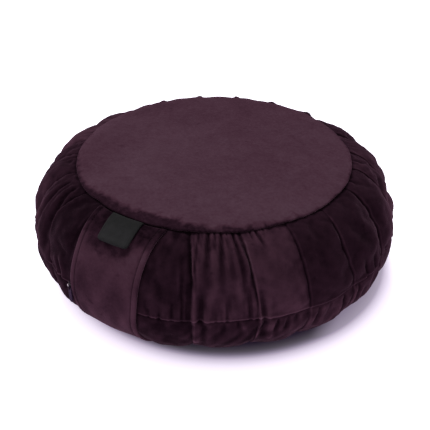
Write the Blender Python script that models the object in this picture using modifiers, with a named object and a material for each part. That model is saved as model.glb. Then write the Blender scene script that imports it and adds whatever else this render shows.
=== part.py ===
"""Round pleated meditation cushion with a carry strap, in metres, +Z up.

The origin is the middle of the base, on the surface that the cushion rests on.
A bearing is an angle in degrees round the cushion, from the strap at -Y towards +X.
A turn is an angle in degrees down the side: 0 at the top seam, 90 at the zip, 180 at the base seam.
"""

import math

import bmesh
import bpy
from mathutils import Matrix, Vector

# Filled cushion
RADIUS = 0.210  # at the zip, to the folded edges of the pleats
SEAM_RADIUS = 0.1575  # of the round end panels, top and base
TOP_SEAM_HEIGHT = 0.139
ZIP_HEIGHT = 0.070
BASE_SEAM_HEIGHT = 0.008
UPPER_FULLNESS = 1.0  # 1 is a quarter ellipse from the seam to the zip, and more is slimmer
LOWER_FULLNESS = 1.0
SEAM_GROOVE = 0.0045  # depth to which the stitches draw the cloth in at the top seam
BASE_GROOVE = 0.0025
ZIP_GROOVE = 0.003
CLOTH = 0.002
GAP = 0.0003  # between pieces that touch
LINING = CLOTH + 3 * GAP  # from a panel's outer face to the filling under it
LINING_RADIUS = 0.99 * SEAM_RADIUS  # where the filling's round ends stop, inside the seams
GROOVE_RADIUS = SEAM_RADIUS + 0.0005

# Round panels
PANEL_COLUMNS = 63
RIM_HEIGHT = TOP_SEAM_HEIGHT + 0.003  # of the top panel, where its rim starts to roll down
CROWN = 0.0045  # rise of the top panel's middle over that
RIM_ROLL = 0.014  # width of the rim that turns down into the seam
RIM_DROP = 0.0018
BASE_FLAT_RADIUS = 0.128  # the base lies flat inside this
BASE_RIM_RISE = 0.005
RING_SHARES = (0.55, 0.80, 0.91, 0.96)  # of the seam's radius, where a panel's profile bends

# Pleats of the side, all folded the same way
PLEATS = 21
FIRST_FOLD_BEARING = 26.5
PLEAT_DEPTH_AT_SEAMS = 0.0034  # from a folded edge down to the crease beside it
PLEAT_DEPTH_BETWEEN_SEAMS = 0.0060
UPPER_ROWS = (9, 22, 36, 50, 66, 84)  # turns of the side's rows, top seam to zip
LOWER_ROWS = (96, 114, 130, 144, 158, 171)  # zip to base seam

# One pleat from its crease to the next: the share across it, and the share of its depth there
PLEAT_SECTION = [
    {"across": 0.00, "depth": 1.00},  # crease
    {"across": 0.07, "depth": 0.00},  # folded edge over it
    {"across": 0.18, "depth": 0.35},
    {"across": 0.36, "depth": 0.22},
    {"across": 0.57, "depth": 0.12},
    {"across": 0.78, "depth": 0.28},
    {"across": 0.92, "depth": 0.62},
]

# Carry strap, sewn into both seams, and the label sewn in over its top end
STRAP_WIDTH = 0.083
STRAP_OFFSET = 0.0035  # of its middle, along X
STRAP_THICKNESS = 0.0028
STRAP_CLEARANCE = 0.0005  # over the folded edges
STRAP_ENDS = (2.0, 178.0)  # turns
STRAP_FLATTENING = 0.15  # how much flatter across than the side, halfway down
STRAP_ROWS = 24
STRAP_COLUMNS = 8
LABEL_WIDTH = 0.038
LABEL_LENGTH = 0.030
LABEL_THICKNESS = 0.0012
LABEL_START = 5.0  # turn
LABEL_ROWS = 6
LABEL_COLUMNS = 2

# Zip slider and pull, beside the strap
SLIDER_BEARING = -12.2
SLIDER_HEIGHT = ZIP_HEIGHT - 0.003
SLIDER_SEAT_RADIUS = RADIUS - 0.0005  # of the slider's back
SLIDER_WIDTH = 0.0062
SLIDER_LENGTH = 0.0100
SLIDER_THICKNESS = 0.0018
SLIDER_EDGE = 0.0004
BRIDGE_WIDTH = 0.0012
BRIDGE_SPAN = 0.0068
BRIDGE_HEIGHT = 0.0028
BRIDGE_BAR = 0.0010
BRIDGE_ROOT = 0.0004  # sunk into the slider's plate
PULL_LENGTH = 0.020
PULL_WIDTH = 0.0048
PULL_THICKNESS = 0.0012
PULL_EYE_LENGTH = 0.0026
PULL_EYE_WIDTH = 0.0022
PULL_EYE_RIM = 0.0012

VELVET = {"colour": (0.045, 0.019, 0.031), "roughness": 0.85, "metallic": 0.0}
LABEL_CLOTH = {"colour": (0.022, 0.024, 0.025), "roughness": 0.65, "metallic": 0.0}
BARE_METAL = {"colour": (0.42, 0.40, 0.43), "roughness": 0.30, "metallic": 1.0}
PAINTED_METAL = {"colour": (0.050, 0.026, 0.045), "roughness": 0.40, "metallic": 0.0}


def clear_scene():
    for obj in list(bpy.data.objects):
        bpy.data.objects.remove(obj)


def make_collection(name):
    collection = bpy.data.collections.new(name)
    bpy.context.scene.collection.children.link(collection)
    return collection


def make_material(name, finish):
    material = bpy.data.materials.new(name)
    material.use_nodes = True
    shader = material.node_tree.nodes["Principled BSDF"]
    shader.inputs["Base Color"].default_value = (*finish["colour"], 1.0)
    shader.inputs["Roughness"].default_value = finish["roughness"]
    shader.inputs["Metallic"].default_value = finish["metallic"]
    return material


def make_object(name, mesh, collection, material):
    obj = bpy.data.objects.new(name, mesh)
    collection.objects.link(obj)
    mesh.materials.clear()
    mesh.materials.append(material)
    mesh.shade_smooth()
    mesh.set_sharp_from_angle(angle=math.radians(40))
    return obj


def evaluated_mesh(obj, name):
    """A plain mesh of an object with its modifiers, or of a curve, which is then removed."""
    graph = bpy.context.evaluated_depsgraph_get()
    mesh = bpy.data.meshes.new_from_object(obj.evaluated_get(graph))
    mesh.name = name
    bpy.data.objects.remove(obj)
    return mesh


def turned(name, profile, columns):
    """A mesh turned about Z from a profile of (radius, height) that runs down its outer side."""
    mesh = bpy.data.meshes.new(name + "_profile")
    edges = [(i, i + 1) for i in range(len(profile) - 1)]
    mesh.from_pydata([(radius, 0.0, height) for radius, height in profile], edges, [])
    guide = bpy.data.objects.new(name + "_profile", mesh)
    bpy.context.scene.collection.objects.link(guide)
    screw = guide.modifiers.new("turn", "SCREW")
    screw.axis = "Z"
    screw.angle = math.tau
    screw.steps = columns
    screw.render_steps = columns
    screw.use_merge_vertices = True
    screw.merge_threshold = 0.00001
    return evaluated_mesh(guide, name)


def at_bearing(bearing, radius, height):
    angle = math.radians(bearing)
    return Vector((radius * math.sin(angle), -radius * math.cos(angle), height))


# The cushion's section: a round panel, a side that bulges out to the zip, and a round panel


def side_point(turn):
    """(radius, height) on the side, over the folded edges of its pleats."""
    seam_height = TOP_SEAM_HEIGHT if turn < 90 else BASE_SEAM_HEIGHT
    fullness = UPPER_FULLNESS if turn < 90 else LOWER_FULLNESS
    radius = SEAM_RADIUS + (RADIUS - SEAM_RADIUS) * math.sin(math.radians(turn)) ** fullness
    height = ZIP_HEIGHT + abs(seam_height - ZIP_HEIGHT) * math.cos(math.radians(turn))
    return radius, height


def side_outward(turn):
    """(radial, up) parts of the direction that points out of the side."""
    radius_before, height_before = side_point(turn - 1.0)
    radius_after, height_after = side_point(turn + 1.0)
    along = math.hypot(radius_after - radius_before, height_after - height_before)
    return (height_before - height_after) / along, (radius_after - radius_before) / along


def lifted_side_point(turn, lift):
    radius, height = side_point(turn)
    out, up = side_outward(turn)
    return radius + out * lift, height + up * lift


def pleat_depth(turn):
    """Depth of a crease: shallow at both seams and at the zip, and deepest halfway between them."""
    more = PLEAT_DEPTH_BETWEEN_SEAMS - PLEAT_DEPTH_AT_SEAMS
    return PLEAT_DEPTH_AT_SEAMS + more * abs(math.sin(math.radians(2 * turn)))


def top_face(radius):
    """Height of the top panel's upper face."""
    crown = CROWN * (1 - (radius / SEAM_RADIUS) ** 3)
    roll = max(0.0, radius - SEAM_RADIUS + RIM_ROLL) / RIM_ROLL
    return RIM_HEIGHT + crown - RIM_DROP * roll**2


def base_face(radius):
    """Height of the base panel's under face."""
    share = max(0.0, radius - BASE_FLAT_RADIUS) / (SEAM_RADIUS - BASE_FLAT_RADIUS)
    return BASE_RIM_RISE * share**2


# Filled cushion: one solid, with its side laid in pleats


def cushion_rows():
    """The cushion's profile, top to bottom, as rows of (radius, height, turn), with no turn off the side."""
    top_radii = [0.0, *[share * SEAM_RADIUS for share in RING_SHARES], LINING_RADIUS]
    base_radii = [LINING_RADIUS, BASE_FLAT_RADIUS, 0.0]
    rows = [(radius, top_face(radius) - LINING, None) for radius in top_radii]
    rows += [(GROOVE_RADIUS, TOP_SEAM_HEIGHT - SEAM_GROOVE, None)]
    rows += [(*side_point(turn), turn) for turn in UPPER_ROWS]
    rows += [(RADIUS - ZIP_GROOVE, ZIP_HEIGHT, 90)]
    rows += [(*side_point(turn), turn) for turn in LOWER_ROWS]
    rows += [(GROOVE_RADIUS, BASE_SEAM_HEIGHT + BASE_GROOVE, None)]
    rows += [(radius, base_face(radius) + LINING, None) for radius in base_radii]
    return rows


def nearest_row(rows, radius, height):
    return min(rows, key=lambda row: math.hypot(row[0] - radius, row[1] - height))


def lay_pleats(mesh, rows):
    """Moves each vertex of the turned mesh round and out to its place in a pleat."""
    columns = len(PLEAT_SECTION)
    pleat_angle = 360 / PLEATS
    for vertex in mesh.vertices:
        radius = math.hypot(vertex.co.x, vertex.co.y)
        row_radius, row_height, turn = nearest_row(rows, radius, vertex.co.z)
        column = round(math.degrees(math.atan2(vertex.co.y, vertex.co.x)) * columns / pleat_angle)
        pleat, place = divmod(column, columns)
        section = PLEAT_SECTION[place]
        across = section["across"] if row_radius > SEAM_RADIUS else place / columns
        bearing = FIRST_FOLD_BEARING + pleat_angle * (pleat + across)
        if turn is None:
            vertex.co = at_bearing(bearing, row_radius, row_height)
        else:
            out, up = side_outward(turn)
            depth = pleat_depth(turn) * section["depth"]
            vertex.co = at_bearing(bearing, row_radius - out * depth, row_height - up * depth)


def make_filled_cushion(collection, velvet):
    rows = cushion_rows()
    profile = [(radius, height) for radius, height, turn in rows]
    mesh = turned("filled_cushion", profile, PLEATS * len(PLEAT_SECTION))
    lay_pleats(mesh, rows)
    make_object("filled_cushion", mesh, collection, velvet)


# Round panels: single sheets of velvet that close the cushion's ends


def panel_mesh(name, upper_face, lower_face):
    """A round sheet between two faces, each a height for a radius."""
    radii = [0.0, *[share * SEAM_RADIUS for share in RING_SHARES], SEAM_RADIUS]
    upper = [(radius, upper_face(radius)) for radius in radii]
    lower = [(radius, lower_face(radius)) for radius in reversed(radii)]
    return turned(name, upper + lower, PANEL_COLUMNS)


def make_panels(collection, velvet):
    top = panel_mesh("top_panel", top_face, lambda radius: top_face(radius) - CLOTH)
    base = panel_mesh("base_panel", lambda radius: base_face(radius) + CLOTH, base_face)
    make_object("top_panel", top, collection, velvet)
    make_object("base_panel", base, collection, velvet)


# Carry strap and label: sheets that follow the side from the top seam down


def strap_place(turn, across, lift):
    """A point over the side at bearing 0, this far across the strap and this far off its back."""
    radius, height = lifted_side_point(turn, STRAP_CLEARANCE + lift)
    curve = 1 - STRAP_FLATTENING * math.sin(math.radians(turn))
    fall = (radius - math.sqrt(radius**2 - across**2)) * curve
    return Vector((across, fall - radius, height))


def turn_after(start, length):
    """The turn that lies this length down the side from a turn."""
    step = 0.5
    turn = start
    while length > 0:
        radius, height = side_point(turn)
        next_radius, next_height = side_point(turn + step)
        length -= math.hypot(next_radius - radius, next_height - height)
        turn += step
    return turn


def side_sheet(name, turns, width, middle, lift, thickness, rows, columns):
    """A sheet of cloth that hangs down the side between two turns."""
    work = bmesh.new()
    bmesh.ops.create_grid(work, x_segments=columns, y_segments=rows, size=0.5)
    start, end = turns
    for vertex in work.verts:
        turn = start + (end - start) * (0.5 - vertex.co.y)
        vertex.co = strap_place(turn, middle + width * vertex.co.x, lift)
    mesh = bpy.data.meshes.new(name)
    work.to_mesh(mesh)
    work.free()
    sheet = bpy.data.objects.new(name, mesh)
    bpy.context.scene.collection.objects.link(sheet)
    solidify = sheet.modifiers.new("cloth", "SOLIDIFY")
    solidify.thickness = thickness
    solidify.offset = 1.0
    return evaluated_mesh(sheet, name)


def make_strap(collection, velvet):
    mesh = side_sheet(
        "carry_strap", STRAP_ENDS, STRAP_WIDTH, STRAP_OFFSET, 0.0, STRAP_THICKNESS, STRAP_ROWS, STRAP_COLUMNS
    )
    make_object("carry_strap", mesh, collection, velvet)


def make_label(collection, label_cloth):
    turns = (LABEL_START, turn_after(LABEL_START, LABEL_LENGTH))
    lift = STRAP_THICKNESS + 2 * GAP
    mesh = side_sheet(
        "label", turns, LABEL_WIDTH, STRAP_OFFSET, lift, LABEL_THICKNESS, LABEL_ROWS, LABEL_COLUMNS
    )
    make_object("label", mesh, collection, label_cloth)


# Zip slider and pull. In their own frames X is across, -Y is out of the cushion and Z is up.


def zip_frame(out):
    """The slider's frame, moved this far out of the cushion."""
    origin = at_bearing(SLIDER_BEARING, SLIDER_SEAT_RADIUS + out, SLIDER_HEIGHT)
    return Matrix.Translation(origin) @ Matrix.Rotation(math.radians(SLIDER_BEARING), 4, "Z")


def flat_plate(name, outlines, thickness):
    """A plate cut from closed outlines, the second one its hole, with its thickness both ways of Z."""
    curve = bpy.data.curves.new(name, "CURVE")
    curve.dimensions = "2D"
    curve.fill_mode = "BOTH"
    curve.extrude = thickness / 2
    for outline in outlines:
        spline = curve.splines.new("POLY")
        spline.points.add(len(outline) - 1)
        for point, (x, y) in zip(spline.points, outline):
            point.co = (x, y, 0.0, 1.0)
        spline.use_cyclic_u = True
    plate = bpy.data.objects.new(name, curve)
    bpy.context.scene.collection.objects.link(plate)
    mesh = evaluated_mesh(plate, name)
    work = bmesh.new()
    work.from_mesh(mesh)
    bmesh.ops.remove_doubles(work, verts=work.verts, dist=0.000001)
    work.to_mesh(mesh)
    work.free()
    return mesh


def chamfered_outline(left, right, bottom, top, chamfer):
    return [
        (left + chamfer, bottom),
        (right - chamfer, bottom),
        (right, bottom + chamfer),
        (right, top - chamfer),
        (right - chamfer, top),
        (left + chamfer, top),
        (left, top - chamfer),
        (left, bottom + chamfer),
    ]


def slider_plate_mesh():
    work = bmesh.new()
    bmesh.ops.create_cube(work, size=1.0)
    size = Matrix.Diagonal((SLIDER_WIDTH, SLIDER_THICKNESS, SLIDER_LENGTH, 1.0))
    place = Matrix.Translation((0.0, -SLIDER_THICKNESS / 2, 0.0))
    bmesh.ops.transform(work, matrix=place @ size, verts=work.verts)
    bmesh.ops.bevel(work, geom=work.edges[:], offset=SLIDER_EDGE, segments=2, profile=0.5, affect="EDGES")
    mesh = bpy.data.meshes.new("zip_slider")
    work.to_mesh(mesh)
    work.free()
    return mesh


def bridge_mesh():
    """The loop on the slider's face that carries the pull, from an outline in (up, out)."""
    half = BRIDGE_SPAN / 2
    outer = chamfered_outline(-half, half, -BRIDGE_ROOT, BRIDGE_HEIGHT, BRIDGE_ROOT / 2)
    inner_half = half - BRIDGE_BAR
    eye_top = BRIDGE_HEIGHT - BRIDGE_BAR
    inner = chamfered_outline(-inner_half, inner_half, -BRIDGE_ROOT / 2, eye_top, BRIDGE_ROOT / 2)
    mesh = flat_plate("bridge", [outer, inner], BRIDGE_WIDTH)
    up_out_to_frame = Matrix(((0, 0, 1, 0), (0, -1, 0, -SLIDER_THICKNESS), (1, 0, 0, 0), (0, 0, 0, 1)))
    mesh.transform(up_out_to_frame)
    return mesh


def make_slider(collection, cutters, bare_metal):
    slider = make_object("zip_slider", slider_plate_mesh(), collection, bare_metal)
    slider.matrix_world = zip_frame(0.0)
    bridge = bpy.data.objects.new("bridge", bridge_mesh())
    cutters.objects.link(bridge)
    bridge.matrix_world = zip_frame(0.0)
    bridge.hide_render = True
    bridge.display_type = "WIRE"
    union = slider.modifiers.new("bridge", "BOOLEAN")
    union.operation = "UNION"
    union.object = bridge


def make_pull(collection, painted_metal):
    """A flat tab that hangs with its eye round the bridge's lower leg."""
    leg_top = -BRIDGE_SPAN / 2 + BRIDGE_BAR
    eye_top = leg_top + GAP
    eye_bottom = eye_top - PULL_EYE_LENGTH
    top = eye_top + PULL_EYE_RIM
    half = PULL_WIDTH / 2
    eye_half = PULL_EYE_WIDTH / 2
    outer = chamfered_outline(-half, half, top - PULL_LENGTH, top, 0.0012)
    eye = chamfered_outline(-eye_half, eye_half, eye_bottom, eye_top, 0.0003)
    mesh = flat_plate("zip_pull", [outer, eye], PULL_THICKNESS)
    across_up_to_frame = Matrix.Rotation(math.radians(90), 4, "X")
    mesh.transform(across_up_to_frame)
    pull = make_object("zip_pull", mesh, collection, painted_metal)
    pull.matrix_world = zip_frame(SLIDER_THICKNESS + GAP + PULL_THICKNESS / 2)


def build_cushion():
    clear_scene()
    collection = make_collection("meditation_cushion")
    cutters = make_collection("cutters")
    velvet = make_material("velvet", VELVET)
    make_filled_cushion(collection, velvet)
    make_panels(collection, velvet)
    make_strap(collection, velvet)
    make_label(collection, make_material("label_cloth", LABEL_CLOTH))
    make_slider(collection, cutters, make_material("bare_metal", BARE_METAL))
    make_pull(collection, make_material("painted_metal", PAINTED_METAL))


build_cushion()
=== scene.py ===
import math

import bmesh
import bpy
import numpy as np
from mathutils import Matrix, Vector


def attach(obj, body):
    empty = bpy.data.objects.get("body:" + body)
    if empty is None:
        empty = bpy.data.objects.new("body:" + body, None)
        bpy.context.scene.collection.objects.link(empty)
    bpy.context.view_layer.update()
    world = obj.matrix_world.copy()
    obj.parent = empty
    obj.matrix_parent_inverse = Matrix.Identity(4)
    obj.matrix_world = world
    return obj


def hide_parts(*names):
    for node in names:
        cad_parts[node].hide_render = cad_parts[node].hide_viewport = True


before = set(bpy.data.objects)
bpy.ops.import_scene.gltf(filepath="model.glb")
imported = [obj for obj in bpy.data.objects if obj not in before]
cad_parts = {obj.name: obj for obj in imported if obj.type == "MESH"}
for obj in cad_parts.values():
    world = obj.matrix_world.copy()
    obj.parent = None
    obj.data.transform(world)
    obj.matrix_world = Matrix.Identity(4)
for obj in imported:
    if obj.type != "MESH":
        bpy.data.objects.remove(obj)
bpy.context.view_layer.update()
print("frame loaded")

mm = 0.001


def newObject(name, data):
    thing = bpy.data.objects.new(name, data)
    bpy.context.scene.collection.objects.link(thing)
    return thing


# The photograph's view: 33 degrees round from the strap, which faces -Y

view = {
    "azimuth": 33.0,
    "elevation": 32.49,
    "distance": 0.90,
    "pivot": (0.0, 0.0, 0.070),
    "aimDown": 10.8 * mm,
    "aimRight": 0.9 * mm,
    "lens": 62.5,
    "sensor": 36.0,
}
azimuth = math.radians(view["azimuth"])
elevation = math.radians(view["elevation"])
viewRight = Vector((math.cos(azimuth), math.sin(azimuth), 0))
viewFront = Vector((math.sin(azimuth), -math.cos(azimuth), 0))  # level, towards the camera


def makeCamera():
    back = viewFront * math.cos(elevation) + Vector((0, 0, math.sin(elevation)))
    up = back.cross(viewRight)
    pivot = Vector(view["pivot"])
    aim = pivot - up * view["aimDown"] + viewRight * view["aimRight"]
    data = bpy.data.cameras.new("camera")
    data.lens = view["lens"]
    data.sensor_width = view["sensor"]
    data.clip_start = 0.05
    data.clip_end = 20.0
    cam = newObject("camera", data)
    cam.location = pivot + back * view["distance"]
    cam.rotation_euler = (aim - cam.location).to_track_quat("-Z", "Y").to_euler()
    bpy.context.scene.camera = cam


# right, front and up point to each light as seen from the camera

lights = {
    "sky": 0.52,
    "sun": {"right": -0.25, "front": -0.62, "up": 1.0, "away": 2.0, "power": 2.25, "angle": 30.0},
    "fill": {"right": -1.0, "front": 1.4, "up": 0.9, "away": 1.0, "size": 1.6, "watts": 3.5},
}


def aimLight(data, light):
    lamp = newObject(data.name, data)
    offset = viewRight * light["right"] + viewFront * light["front"] + Vector((0, 0, light["up"]))
    lamp.location = offset * light["away"]
    lamp.rotation_euler = (-offset).to_track_quat("-Z", "Y").to_euler()


def makeLights():
    sun = bpy.data.lights.new("sun", "SUN")
    sun.energy = lights["sun"]["power"]
    sun.angle = math.radians(lights["sun"]["angle"])
    aimLight(sun, lights["sun"])
    fill = bpy.data.lights.new("fill", "AREA")
    fill.energy = lights["fill"]["watts"]
    fill.size = lights["fill"]["size"]
    aimLight(fill, lights["fill"])
    world = bpy.data.worlds.new("studio")
    world.use_nodes = True
    world.node_tree.nodes["Background"].inputs["Color"].default_value = (1, 1, 1, 1)
    world.node_tree.nodes["Background"].inputs["Strength"].default_value = lights["sky"]
    bpy.context.scene.world = world
    bpy.context.scene.view_settings.view_transform = "Standard"


# Shader maths: a socket that takes part in Python expressions, and the tree that holds it


class Wire:
    def __init__(self, finish, socket):
        self.finish = finish
        self.socket = socket

    def maths(self, operation, first, second):
        settings = {"operation": operation}
        return self.finish.add("ShaderNodeMath", settings, {0: first, 1: second})

    def __add__(self, other):
        return self.maths("ADD", self, other)

    def __sub__(self, other):
        return self.maths("SUBTRACT", self, other)

    def __rsub__(self, other):
        return self.maths("SUBTRACT", other, self)

    def __mul__(self, other):
        return self.maths("MULTIPLY", self, other)

    __radd__ = __add__
    __rmul__ = __mul__


class Finish:
    def __init__(self, name):
        self.material = bpy.data.materials.new(name)
        self.material.use_nodes = True
        self.tree = self.material.node_tree
        self.shader = self.tree.nodes["Principled BSDF"]

    def feed(self, socket, value):
        if isinstance(value, Wire):
            self.tree.links.new(value.socket, socket)
        else:
            socket.default_value = value

    def setInput(self, name, value):
        self.feed(self.shader.inputs[name], value)

    def add(self, kind, settings, values, output=0):
        node = self.tree.nodes.new(kind)
        for name, value in settings.items():
            if name == "stops":
                self.setStops(node.color_ramp, value)
            else:
                setattr(node, name, value)
        for name, value in values.items():
            self.feed(node.inputs[name], value)
        return Wire(self, node.outputs[output])

    def setStops(self, ramp, stops):
        while len(ramp.elements) < len(stops):
            ramp.elements.new(0.5)
        for element, (place, colour) in zip(ramp.elements, stops):
            element.position = place
            element.color = colour if isinstance(colour, tuple) else (colour, colour, colour, 1)

    def noise(self, where, scale, detail, distortion=0.0):
        values = {"Vector": where, "Scale": scale, "Detail": detail, "Distortion": distortion}
        return self.add("ShaderNodeTexNoise", {}, values)

    def ramp(self, value, stops):
        return self.add("ShaderNodeValToRGB", {"stops": stops}, {0: value})

    def blend(self, share, first, second, kind="MIX"):
        settings = {"data_type": "RGBA", "blend_type": kind}
        return self.add("ShaderNodeMix", settings, {0: share, 6: first, 7: second}, 2)

    def vector(self, operation, values, output=0):
        return self.add("ShaderNodeVectorMath", {"operation": operation}, values, output)

    def bump(self, height, distance, strength=1.0):
        values = {"Height": height, "Distance": distance, "Strength": strength}
        return self.add("ShaderNodeBump", {}, values)

    def painted(self, name):
        return self.add("ShaderNodeAttribute", {"attribute_name": name}, {}, 2)

    def place(self):
        return self.add("ShaderNodeTexCoord", {}, {}, 3)


# Velvet. Two painted layers drive it: the first is the pile's own tone together with painted shade
# and painted highlights, and crush is where it is rubbed.

velvet = {
    # the ramp below turns the first layer, its painted shade and highlights included, into colour
    "pile": [  # the pile's colour as it leans from away to towards the light
        (0.00, (0.0065, 0.0026, 0.0048, 1)),
        (0.30, (0.0200, 0.0080, 0.0139, 1)),
        (0.60, (0.0480, 0.0203, 0.0322, 1)),
        (1.00, (0.0800, 0.0430, 0.0610, 1)),
    ],
    "sheen": 0.10,
    "sheenRoughness": 0.35,
    "sheenTint": (0.75, 0.42, 0.58, 1),
    "broadScale": 13.0,
    "mottleScale": 85.0,
    "pileScale": 1500.0,
    "pileHeight": 0.25 * mm,
    "crushScale": 120.0,
    "clumpScale": 30.0,
    "fleckScale": 300.0,
    "broad": 0.25,  # how far each pattern shifts the tone
    "grainy": 0.12,
    "specked": 1.3,  # how far each pattern breaks up the rubbed places
    "clumped": 0.9,
    "rubbedFrom": [(0.30, 0.0), (1.00, 1.0)],
}

# how blotchy and flecked each piece's velvet is, and how dark its rubbed places are
velvetKinds = {
    "sideVelvet": {"mottled": 0.18, "flecked": 0.12, "rubbed": 0.28},
    "panelVelvet": {"mottled": 0.24, "flecked": 0.30, "rubbed": 0.50},
    "strapVelvet": {"mottled": 0.16, "flecked": 0.16, "rubbed": 0.36},
}


def makeVelvet(name):
    finish, kind = Finish(name), velvetKinds[name]
    where = finish.place()
    nap = finish.painted("nap")
    crush = finish.painted("crush")
    broad = finish.noise(where, velvet["broadScale"], 2.0, 0.4)
    mottle = finish.noise(where, velvet["mottleScale"], 4.0, 0.3)
    fleck = finish.noise(where, velvet["fleckScale"], 2.0)
    pile = finish.noise(where, velvet["pileScale"], 2.0)
    specks = finish.noise(where, velvet["crushScale"], 3.0, 0.3)
    clumps = finish.noise(where, velvet["clumpScale"], 2.0)
    marks = crush + (specks - 0.5) * velvet["specked"] + (clumps - 0.5) * velvet["clumped"]
    marks = finish.ramp(marks, velvet["rubbedFrom"]) * (0.25 + fleck * 1.5)
    tone = nap + (broad - 0.5) * velvet["broad"] + (mottle - 0.5) * kind["mottled"]
    tone = tone + (fleck - 0.5) * kind["flecked"] + (pile - 0.5) * velvet["grainy"]
    finish.setInput("Base Color", finish.ramp(tone - marks * kind["rubbed"], velvet["pile"]))
    finish.setInput("Roughness", 0.95 - nap * 0.15)
    soft = finish.bump(mottle + fleck * 0.4, 0.6 * mm, 0.5)
    fine = {"Height": pile, "Distance": velvet["pileHeight"], "Normal": soft}
    finish.setInput("Normal", finish.add("ShaderNodeBump", {}, fine))
    finish.setInput("Sheen Weight", velvet["sheen"])
    finish.setInput("Sheen Roughness", velvet["sheenRoughness"])
    finish.setInput("Sheen Tint", velvet["sheenTint"])
    finish.setInput("Specular IOR Level", 0.0)
    return finish.material


labelCloth = {
    "tones": [
        (0.0, (0.0008, 0.0007, 0.0009, 1)),
        (0.5, (0.0030, 0.0027, 0.0031, 1)),
        (1.0, (0.0130, 0.0122, 0.0137, 1)),
    ],
    "ribScale": 420.0,
    "slubScale": 900.0,
    "wearScale": 120.0,
    "ribHeight": 0.15 * mm,
}


def makeLabelCloth():
    finish = Finish("labelCloth")
    weave = finish.add("ShaderNodeUVMap", {"uv_map": "weave"}, {})
    bands = {"Vector": weave, "Scale": labelCloth["ribScale"], "Distortion": 0.4}
    ribs = finish.add("ShaderNodeTexWave", {"bands_direction": "Y"}, bands, 1)
    slubs = finish.noise(weave, labelCloth["slubScale"], 2.0)
    worn = finish.noise(weave, labelCloth["wearScale"], 3.0)
    tone = finish.painted("nap") + (ribs - 0.5) * 0.25 + (slubs - 0.5) * 0.60 + (worn - 0.5) * 0.6
    finish.setInput("Base Color", finish.ramp(tone, labelCloth["tones"]))
    finish.setInput("Roughness", 0.60 + slubs * 0.25)
    finish.setInput("Normal", finish.bump(ribs * 0.7 + slubs * 0.3, labelCloth["ribHeight"]))
    finish.setInput("Specular IOR Level", 0.12)
    return finish.material


zipMetal = {
    "tint": (0.016, 0.007, 0.013, 1),
    "bare": (0.40, 0.33, 0.36, 1),
    # the bare metal: a place in cm from the cushion's axis and over the floor, and how far
    # beyond it the metal starts to be bare and is all bare
    "bridgeOut": 20.9,
    "bareOut": [(0.30, 0.0), (0.38, 1.0)],
    "bridgeUp": 6.0,
    "bareUp": [(0.72, 0.0), (0.80, 1.0)],
    "pull": [(0.014, 0.006, 0.018, 1), (0.032, 0.014, 0.038, 1)],
    "grainScale": 1800.0,
    "grainHeight": 0.05 * mm,
}


def makeSliderMetal():
    # tinted like the cloth, and bare where the pull has rubbed the bridge, which stands out
    finish = Finish("sliderMetal")
    where = finish.place()
    level = finish.vector("MULTIPLY", {0: where, 1: (1, 1, 0)})
    reach = finish.vector("LENGTH", {0: level}, 1)
    grain = finish.noise(where, zipMetal["grainScale"], 3.0)
    height = finish.add("ShaderNodeSeparateXYZ", {}, {0: where}, 2)
    out = reach * 100.0 - zipMetal["bridgeOut"] + (grain - 0.5) * 0.1
    bridge = finish.ramp(out, zipMetal["bareOut"])
    bridge = bridge * finish.ramp(height * 100.0 - zipMetal["bridgeUp"], zipMetal["bareUp"])
    finish.setInput("Base Color", finish.blend(bridge, zipMetal["tint"], zipMetal["bare"]))
    finish.setInput("Roughness", 0.60 - bridge * 0.28)
    finish.setInput("Metallic", bridge)
    finish.setInput("Normal", finish.bump(grain, zipMetal["grainHeight"]))
    finish.setInput("Specular IOR Level", 0.03)
    return finish.material


threadTones = [(0.014, 0.006, 0.010, 1), (0.034, 0.015, 0.024, 1)]


def makeThread():
    finish = Finish("plumThread")
    twist = finish.noise(finish.place(), 2600.0, 2.0)
    finish.setInput("Base Color", finish.blend(twist, *threadTones))
    finish.setInput("Roughness", 0.75 + twist * 0.2)
    finish.setInput("Specular IOR Level", 0.05)
    return finish.material


def makePaintedMetal():
    finish = Finish("paintedMetal")
    grain = finish.noise(finish.place(), zipMetal["grainScale"], 3.0)
    finish.setInput("Base Color", finish.blend(grain, *zipMetal["pull"]))
    finish.setInput("Roughness", 0.60 + grain * 0.15)
    finish.setInput("Normal", finish.bump(grain, zipMetal["grainHeight"]))
    finish.setInput("Specular IOR Level", 0.03)
    return finish.material


# Meshes from rings of points. A ring runs from -Y towards +X, and the rings run from the top
# down the outside.


def ringMesh(name, rings, material, layers=None):
    rows, columns = rings.shape[:2]
    points = [tuple(p) for p in rings.reshape(-1, 3).tolist()]
    faces = []
    for row in range(rows - 1):
        for column in range(columns):
            after = (column + 1) % columns
            high, low = row * columns, (row + 1) * columns
            faces.append((high + column, low + column, low + after, high + after))
    top, base, last = len(points), len(points) + 1, (rows - 1) * columns
    points += [tuple(rings[0].mean(0)), tuple(rings[-1].mean(0))]
    for column in range(columns):
        after = (column + 1) % columns
        faces.append((top, column, after))
        faces.append((base, last + after, last + column))
    mesh = bpy.data.meshes.new(name)
    mesh.from_pydata(points, [], faces)
    mesh.shade_smooth()
    mesh.materials.append(material)
    for layer, values in (layers or {}).items():
        flat = values.reshape(-1)
        ends = [values[0].mean(), values[-1].mean()]
        attribute = mesh.attributes.new(layer, "FLOAT", "POINT")
        attribute.data.foreach_set("value", np.concatenate([flat, ends]).astype(np.float32))
    mesh.update()
    return newObject(name, mesh)


def ripples(across, down, seed, count, slowest, fastest, stretch=1.0):
    # a smooth random field round the cushion, from about -1 to 1; across and down are in degrees
    rng = np.random.default_rng(seed)
    total = np.zeros(np.broadcast(across, down).shape)
    for step in range(count):
        around = rng.integers(slowest, fastest + 1)
        along = rng.uniform(-fastest, fastest) * stretch
        total += np.cos(np.radians(across * around + down * along) + rng.uniform(0, math.tau))
    return total / math.sqrt(count)


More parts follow.
